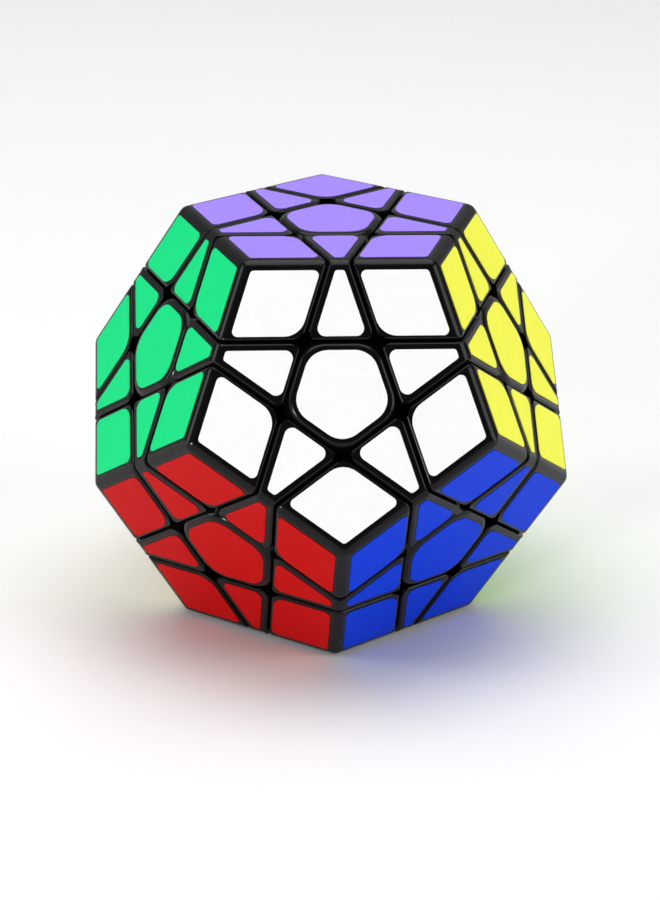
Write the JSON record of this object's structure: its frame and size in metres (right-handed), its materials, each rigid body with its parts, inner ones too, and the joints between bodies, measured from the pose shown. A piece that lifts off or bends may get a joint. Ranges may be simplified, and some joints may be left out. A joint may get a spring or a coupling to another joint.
{
  "type": "dodecahedron twisty puzzle",
  "caption": "Dodecahedral twisty puzzle: sprung centres on a core, with edge and corner pieces that hook under them and turn in layers about the face axes.",
  "frame": {"origin": "middle of the core, where the twelve face axes cross", "axes": "+Z out of the top (purple) face along its axis, -Z out of the face it rests on; -Y is the side of the white face, which looks up and forwards"},
  "size_m": [0.083, 0.0864, 0.0712],
  "materials": {
    "black_plastic": "glossy moulded black plastic with fine mould texture",
    "core_plastic": "matt black moulded plastic",
    "steel": "zinc-plated steel",
    "purple_sticker": "semi-gloss purple vinyl sticker",
    "white_sticker": "semi-gloss white vinyl sticker",
    "yellow_sticker": "semi-gloss yellow vinyl sticker",
    "orange_sticker": "semi-gloss orange vinyl sticker",
    "sky_sticker": "semi-gloss sky vinyl sticker",
    "green_sticker": "semi-gloss green vinyl sticker",
    "blue_sticker": "semi-gloss blue vinyl sticker",
    "lime_sticker": "semi-gloss lime vinyl sticker",
    "grey_sticker": "semi-gloss grey vinyl sticker",
    "cream_sticker": "semi-gloss cream vinyl sticker",
    "red_sticker": "semi-gloss red vinyl sticker",
    "pink_sticker": "semi-gloss pink vinyl sticker"
  },
  "bodies": {
    "core": {"core_upper": "core_plastic", "core_lower": "core_plastic", "core_pegs": "core_plastic", "screws": "steel", "washers": "steel", "springs": "steel", "pink_centre": "black_plastic"},
    "purple_face": {"purple_centre": "black_plastic"},
    "white_face": {"white_centre": "black_plastic"},
    "yellow_face": {"yellow_centre": "black_plastic"},
    "orange_face": {"orange_centre": "black_plastic"},
    "sky_face": {"sky_centre": "black_plastic"},
    "green_face": {"green_centre": "black_plastic"},
    "blue_face": {"blue_centre_and_bottom_edge": "black_plastic"},
    "lime_face": {"lime_centre_and_bottom_edge": "black_plastic"},
    "grey_face": {"grey_centre_and_bottom_edge": "black_plastic"},
    "cream_face": {"cream_centre_and_bottom_edge": "black_plastic"},
    "red_face": {"red_centre_and_bottom_edge": "black_plastic"},
    "purple_white_edge": {"purple_white_edge": "black_plastic"},
    "purple_yellow_edge": {"purple_yellow_edge": "black_plastic"},
    "purple_orange_edge": {"purple_orange_edge": "black_plastic"},
    "purple_sky_edge": {"purple_sky_edge": "black_plastic"},
    "purple_green_edge": {"purple_green_edge": "black_plastic"},
    "white_yellow_edge": {"white_yellow_edge": "black_plastic"},
    "white_green_edge": {"white_green_edge": "black_plastic"},
    "white_blue_edge": {"white_blue_edge": "black_plastic"},
    "white_red_edge": {"white_red_edge": "black_plastic"},
    "yellow_orange_edge": {"yellow_orange_edge": "black_plastic"},
    "yellow_blue_edge": {"yellow_blue_edge": "black_plastic"},
    "yellow_lime_edge": {"yellow_lime_edge": "black_plastic"},
    "orange_sky_edge": {"orange_sky_edge": "black_plastic"},
    "orange_lime_edge": {"orange_lime_edge": "black_plastic"},
    "orange_grey_edge": {"orange_grey_edge": "black_plastic"},
    "sky_green_edge": {"sky_green_edge": "black_plastic"},
    "sky_grey_edge": {"sky_grey_edge": "black_plastic"},
    "sky_cream_edge": {"sky_cream_edge": "black_plastic"},
    "green_cream_edge": {"green_cream_edge": "black_plastic"},
    "green_red_edge": {"green_red_edge": "black_plastic"},
    "blue_lime_edge": {"blue_lime_edge_and_bottom_corner": "black_plastic"},
    "blue_red_edge": {"blue_red_edge_and_bottom_corner": "black_plastic"},
    "lime_grey_edge": {"lime_grey_edge_and_bottom_corner": "black_plastic"},
    "grey_cream_edge": {"grey_cream_edge_and_bottom_corner": "black_plastic"},
    "cream_red_edge": {"cream_red_edge_and_bottom_corner": "black_plastic"},
    "purple_white_yellow_corner": {"purple_white_yellow_corner": "black_plastic"},
    "purple_white_green_corner": {"purple_white_green_corner": "black_plastic"},
    "purple_yellow_orange_corner": {"purple_yellow_orange_corner": "black_plastic"},
    "purple_orange_sky_corner": {"purple_orange_sky_corner": "black_plastic"},
    "purple_sky_green_corner": {"purple_sky_green_corner": "black_plastic"},
    "white_yellow_blue_corner": {"white_yellow_blue_corner": "black_plastic"},
    "white_green_red_corner": {"white_green_red_corner": "black_plastic"},
    "white_blue_red_corner": {"white_blue_red_corner": "black_plastic"},
    "yellow_orange_lime_corner": {"yellow_orange_lime_corner": "black_plastic"},
    "yellow_blue_lime_corner": {"yellow_blue_lime_corner": "black_plastic"},
    "orange_sky_grey_corner": {"orange_sky_grey_corner": "black_plastic"},
    "orange_lime_grey_corner": {"orange_lime_grey_corner": "black_plastic"},
    "sky_green_cream_corner": {"sky_green_cream_corner": "black_plastic"},
    "sky_grey_cream_corner": {"sky_grey_cream_corner": "black_plastic"},
    "green_cream_red_corner": {"green_cream_red_corner": "black_plastic"}
  },
  "joints": [
    {"name": "purple_face_turn", "type": "hinge", "parent": "core", "child": "purple_face", "pos_m": [0, 0, 0], "axis": [0, 0, 1], "continuous": true},
    {"name": "white_face_turn", "type": "hinge", "parent": "core", "child": "white_face", "pos_m": [0, 0, 0], "axis": [0, -0.8944, 0.4472], "range_deg": [-360, 360]},
    {"name": "yellow_face_turn", "type": "hinge", "parent": "core", "child": "yellow_face", "pos_m": [0, 0, 0], "axis": [0.8507, -0.2764, 0.4472], "range_deg": [-360, 360]},
    {"name": "orange_face_turn", "type": "hinge", "parent": "core", "child": "orange_face", "pos_m": [0, 0, 0], "axis": [0.5257, 0.7236, 0.4472], "range_deg": [-360, 360]},
    {"name": "sky_face_turn", "type": "hinge", "parent": "core", "child": "sky_face", "pos_m": [0, 0, 0], "axis": [-0.5257, 0.7236, 0.4472], "range_deg": [-360, 360]},
    {"name": "green_face_turn", "type": "hinge", "parent": "core", "child": "green_face", "pos_m": [0, 0, 0], "axis": [-0.8507, -0.2764, 0.4472], "range_deg": [-360, 360]},
    {"name": "blue_face_turn", "type": "hinge", "parent": "core", "child": "blue_face", "pos_m": [0, 0, 0], "axis": [0.5257, -0.7236, -0.4472], "range_deg": [-360, 360]},
    {"name": "lime_face_turn", "type": "hinge", "parent": "core", "child": "lime_face", "pos_m": [0, 0, 0], "axis": [0.8507, 0.2764, -0.4472], "continuous": true},
    {"name": "grey_face_turn", "type": "hinge", "parent": "core", "child": "grey_face", "pos_m": [0, 0, 0], "axis": [0, 0.8944, -0.4472], "range_deg": [-360, 360]},
    {"name": "cream_face_turn", "type": "hinge", "parent": "core", "child": "cream_face", "pos_m": [0, 0, 0], "axis": [-0.8507, 0.2764, -0.4472], "range_deg": [-360, 360]},
    {"name": "red_face_turn", "type": "hinge", "parent": "core", "child": "red_face", "pos_m": [0, 0, 0], "axis": [-0.5257, -0.7236, -0.4472], "continuous": true},
    {"name": "purple_white_edge_turn", "type": "hinge", "parent": "purple_face", "child": "purple_white_edge", "pos_m": [0, 0, 0], "axis": [0, -0.8944, 0.4472], "range_deg": [-360, 360]},
    {"name": "purple_yellow_edge_turn", "type": "hinge", "parent": "purple_face", "child": "purple_yellow_edge", "pos_m": [0, 0, 0], "axis": [0.8507, -0.2764, 0.4472], "range_deg": [-360, 360]},
    {"name": "purple_orange_edge_turn", "type": "hinge", "parent": "purple_face", "child": "purple_orange_edge", "pos_m": [0, 0, 0], "axis": [0.5257, 0.7236, 0.4472], "range_deg": [-360, 360]},
    {"name": "purple_sky_edge_turn", "type": "hinge", "parent": "purple_face", "child": "purple_sky_edge", "pos_m": [0, 0, 0], "axis": [-0.5257, 0.7236, 0.4472], "range_deg": [-360, 360]},
    {"name": "purple_green_edge_turn", "type": "hinge", "parent": "purple_face", "child": "purple_green_edge", "pos_m": [0, 0, 0], "axis": [-0.8507, -0.2764, 0.4472], "range_deg": [-360, 360]},
    {"name": "white_yellow_edge_turn", "type": "hinge", "parent": "white_face", "child": "white_yellow_edge", "pos_m": [0, 0, 0], "axis": [0.8507, -0.2764, 0.4472], "range_deg": [-360, 360]},
    {"name": "white_green_edge_turn", "type": "hinge", "parent": "white_face", "child": "white_green_edge", "pos_m": [0, 0, 0], "axis": [-0.8507, -0.2764, 0.4472], "range_deg": [-360, 360]},
    {"name": "white_blue_edge_turn", "type": "hinge", "parent": "white_face", "child": "white_blue_edge", "pos_m": [0, 0, 0], "axis": [0.5257, -0.7236, -0.4472], "range_deg": [-360, 360]},
    {"name": "white_red_edge_turn", "type": "hinge", "parent": "white_face", "child": "white_red_edge", "pos_m": [0, 0, 0], "axis": [-0.5257, -0.7236, -0.4472], "continuous": true},
    {"name": "yellow_orange_edge_turn", "type": "hinge", "parent": "yellow_face", "child": "yellow_orange_edge", "pos_m": [0, 0, 0], "axis": [0.5257, 0.7236, 0.4472], "range_deg": [-360, 360]},
    {"name": "yellow_blue_edge_turn", "type": "hinge", "parent": "yellow_face", "child": "yellow_blue_edge", "pos_m": [0, 0, 0], "axis": [0.5257, -0.7236, -0.4472], "range_deg": [-360, 360]},
    {"name": "yellow_lime_edge_turn", "type": "hinge", "parent": "yellow_face", "child": "yellow_lime_edge", "pos_m": [0, 0, 0], "axis": [0.8507, 0.2764, -0.4472], "continuous": true},
    {"name": "orange_sky_edge_turn", "type": "hinge", "parent": "orange_face", "child": "orange_sky_edge", "pos_m": [0, 0, 0], "axis": [-0.5257, 0.7236, 0.4472], "range_deg": [-360, 360]},
    {"name": "orange_lime_edge_turn", "type": "hinge", "parent": "orange_face", "child": "orange_lime_edge", "pos_m": [0, 0, 0], "axis": [0.8507, 0.2764, -0.4472], "continuous": true},
    {"name": "orange_grey_edge_turn", "type": "hinge", "parent": "orange_face", "child": "orange_grey_edge", "pos_m": [0, 0, 0], "axis": [0, 0.8944, -0.4472], "range_deg": [-360, 360]},
    {"name": "sky_green_edge_turn", "type": "hinge", "parent": "sky_face", "child": "sky_green_edge", "pos_m": [0, 0, 0], "axis": [-0.8507, -0.2764, 0.4472], "range_deg": [-360, 360]},
    {"name": "sky_grey_edge_turn", "type": "hinge", "parent": "sky_face", "child": "sky_grey_edge", "pos_m": [0, 0, 0], "axis": [0, 0.8944, -0.4472], "range_deg": [-360, 360]},
    {"name": "sky_cream_edge_turn", "type": "hinge", "parent": "sky_face", "child": "sky_cream_edge", "pos_m": [0, 0, 0], "axis": [-0.8507, 0.2764, -0.4472], "range_deg": [-360, 360]},
    {"name": "green_cream_edge_turn", "type": "hinge", "parent": "green_face", "child": "green_cream_edge", "pos_m": [0, 0, 0], "axis": [-0.8507, 0.2764, -0.4472], "range_deg": [-360, 360]},
    {"name": "green_red_edge_turn", "type": "hinge", "parent": "green_face", "child": "green_red_edge", "pos_m": [0, 0, 0], "axis": [-0.5257, -0.7236, -0.4472], "continuous": true},
    {"name": "blue_lime_edge_turn", "type": "hinge", "parent": "blue_face", "child": "blue_lime_edge", "pos_m": [0, 0, 0], "axis": [0.8507, 0.2764, -0.4472], "continuous": true},
    {"name": "blue_red_edge_turn", "type": "hinge", "parent": "blue_face", "child": "blue_red_edge", "pos_m": [0, 0, 0], "axis": [-0.5257, -0.7236, -0.4472], "continuous": true},
    {"name": "lime_grey_edge_turn", "type": "hinge", "parent": "lime_face", "child": "lime_grey_edge", "pos_m": [0, 0, 0], "axis": [0, 0.8944, -0.4472], "range_deg": [-360, 360]},
    {"name": "grey_cream_edge_turn", "type": "hinge", "parent": "grey_face", "child": "grey_cream_edge", "pos_m": [0, 0, 0], "axis": [-0.8507, 0.2764, -0.4472], "range_deg": [-360, 360]},
    {"name": "cream_red_edge_turn", "type": "hinge", "parent": "cream_face", "child": "cream_red_edge", "pos_m": [0, 0, 0], "axis": [-0.5257, -0.7236, -0.4472], "continuous": true},
    {"name": "purple_white_yellow_corner_turn", "type": "hinge", "parent": "purple_white_edge", "child": "purple_white_yellow_corner", "pos_m": [0, 0, 0], "axis": [0.8507, -0.2764, 0.4472], "range_deg": [-360, 360]},
    {"name": "purple_white_green_corner_turn", "type": "hinge", "parent": "purple_white_edge", "child": "purple_white_green_corner", "pos_m": [0, 0, 0], "axis": [-0.8507, -0.2764, 0.4472], "range_deg": [-360, 360]},
    {"name": "purple_yellow_orange_corner_turn", "type": "hinge", "parent": "purple_yellow_edge", "child": "purple_yellow_orange_corner", "pos_m": [0, 0, 0], "axis": [0.5257, 0.7236, 0.4472], "range_deg": [-360, 360]},
    {"name": "purple_orange_sky_corner_turn", "type": "hinge", "parent": "purple_orange_edge", "child": "purple_orange_sky_corner", "pos_m": [0, 0, 0], "axis": [-0.5257, 0.7236, 0.4472], "range_deg": [-360, 360]},
    {"name": "purple_sky_green_corner_turn", "type": "hinge", "parent": "purple_sky_edge", "child": "purple_sky_green_corner", "pos_m": [0, 0, 0], "axis": [-0.8507, -0.2764, 0.4472], "range_deg": [-360, 360]},
    {"name": "white_yellow_blue_corner_turn", "type": "hinge", "parent": "white_yellow_edge", "child": "white_yellow_blue_corner", "pos_m": [0, 0, 0], "axis": [0.5257, -0.7236, -0.4472], "range_deg": [-360, 360]},
    {"name": "white_green_red_corner_turn", "type": "hinge", "parent": "white_green_edge", "child": "white_green_red_corner", "pos_m": [0, 0, 0], "axis": [-0.5257, -0.7236, -0.4472], "continuous": true},
    {"name": "white_blue_red_corner_turn", "type": "hinge", "parent": "white_blue_edge", "child": "white_blue_red_corner", "pos_m": [0, 0, 0], "axis": [-0.5257, -0.7236, -0.4472], "continuous": true},
    {"name": "yellow_orange_lime_corner_turn", "type": "hinge", "parent": "yellow_orange_edge", "child": "yellow_orange_lime_corner", "pos_m": [0, 0, 0], "axis": [0.8507, 0.2764, -0.4472], "continuous": true},
    {"name": "yellow_blue_lime_corner_turn", "type": "hinge", "parent": "yellow_blue_edge", "child": "yellow_blue_lime_corner", "pos_m": [0, 0, 0], "axis": [0.8507, 0.2764, -0.4472], "continuous": true},
    {"name": "orange_sky_grey_corner_turn", "type": "hinge", "parent": "orange_sky_edge", "child": "orange_sky_grey_corner", "pos_m": [0, 0, 0], "axis": [0, 0.8944, -0.4472], "range_deg": [-360, 360]},
    {"name": "orange_lime_grey_corner_turn", "type": "hinge", "parent": "orange_lime_edge", "child": "orange_lime_grey_corner", "pos_m": [0, 0, 0], "axis": [0, 0.8944, -0.4472], "range_deg": [-360, 360]},
    {"name": "sky_green_cream_corner_turn", "type": "hinge", "parent": "sky_green_edge", "child": "sky_green_cream_corner", "pos_m": [0, 0, 0], "axis": [-0.8507, 0.2764, -0.4472], "range_deg": [-360, 360]},
    {"name": "sky_grey_cream_corner_turn", "type": "hinge", "parent": "sky_grey_edge", "child": "sky_grey_cream_corner", "pos_m": [0, 0, 0], "axis": [-0.8507, 0.2764, -0.4472], "range_deg": [-360, 360]},
    {"name": "green_cream_red_corner_turn", "type": "hinge", "parent": "green_cream_edge", "child": "green_cream_red_corner", "pos_m": [0, 0, 0], "axis": [-0.5257, -0.7236, -0.4472], "continuous": true}
  ],
  "couplings": [
    {"joint": "purple_white_edge_turn", "follows": "white_face_turn", "ratio": 1},
    {"joint": "purple_yellow_edge_turn", "follows": "yellow_face_turn", "ratio": 1},
    {"joint": "purple_orange_edge_turn", "follows": "orange_face_turn", "ratio": 1},
    {"joint": "purple_sky_edge_turn", "follows": "sky_face_turn", "ratio": 1},
    {"joint": "purple_green_edge_turn", "follows": "green_face_turn", "ratio": 1},
    {"joint": "white_yellow_edge_turn", "follows": "yellow_face_turn", "ratio": 1},
    {"joint": "white_green_edge_turn", "follows": "green_face_turn", "ratio": 1},
    {"joint": "white_blue_edge_turn", "follows": "blue_face_turn", "ratio": 1},
    {"joint": "white_red_edge_turn", "follows": "red_face_turn", "ratio": 1},
    {"joint": "yellow_orange_edge_turn", "follows": "orange_face_turn", "ratio": 1},
    {"joint": "yellow_blue_edge_turn", "follows": "blue_face_turn", "ratio": 1},
    {"joint": "yellow_lime_edge_turn", "follows": "lime_face_turn", "ratio": 1},
    {"joint": "orange_sky_edge_turn", "follows": "sky_face_turn", "ratio": 1},
    {"joint": "orange_lime_edge_turn", "follows": "lime_face_turn", "ratio": 1},
    {"joint": "orange_grey_edge_turn", "follows": "grey_face_turn", "ratio": 1},
    {"joint": "sky_green_edge_turn", "follows": "green_face_turn", "ratio": 1},
    {"joint": "sky_grey_edge_turn", "follows": "grey_face_turn", "ratio": 1},
    {"joint": "sky_cream_edge_turn", "follows": "cream_face_turn", "ratio": 1},
    {"joint": "green_cream_edge_turn", "follows": "cream_face_turn", "ratio": 1},
    {"joint": "green_red_edge_turn", "follows": "red_face_turn", "ratio": 1},
    {"joint": "blue_lime_edge_turn", "follows": "lime_face_turn", "ratio": 1},
    {"joint": "blue_red_edge_turn", "follows": "red_face_turn", "ratio": 1},
    {"joint": "lime_grey_edge_turn", "follows": "grey_face_turn", "ratio": 1},
    {"joint": "grey_cream_edge_turn", "follows": "cream_face_turn", "ratio": 1},
    {"joint": "cream_red_edge_turn", "follows": "red_face_turn", "ratio": 1},
    {"joint": "purple_white_yellow_corner_turn", "follows": "yellow_face_turn", "ratio": 1},
    {"joint": "purple_white_green_corner_turn", "follows": "green_face_turn", "ratio": 1},
    {"joint": "purple_yellow_orange_corner_turn", "follows": "orange_face_turn", "ratio": 1},
    {"joint": "purple_orange_sky_corner_turn", "follows": "sky_face_turn", "ratio": 1},
    {"joint": "purple_sky_green_corner_turn", "follows": "green_face_turn", "ratio": 1},
    {"joint": "white_yellow_blue_corner_turn", "follows": "blue_face_turn", "ratio": 1},
    {"joint": "white_green_red_corner_turn", "follows": "red_face_turn", "ratio": 1},
    {"joint": "white_blue_red_corner_turn", "follows": "red_face_turn", "ratio": 1},
    {"joint": "yellow_orange_lime_corner_turn", "follows": "lime_face_turn", "ratio": 1},
    {"joint": "yellow_blue_lime_corner_turn", "follows": "lime_face_turn", "ratio": 1},
    {"joint": "orange_sky_grey_corner_turn", "follows": "grey_face_turn", "ratio": 1},
    {"joint": "orange_lime_grey_corner_turn", "follows": "grey_face_turn", "ratio": 1},
    {"joint": "sky_green_cream_corner_turn", "follows": "cream_face_turn", "ratio": 1},
    {"joint": "sky_grey_cream_corner_turn", "follows": "cream_face_turn", "ratio": 1},
    {"joint": "green_cream_red_corner_turn", "follows": "red_face_turn", "ratio": 1}
  ]
}
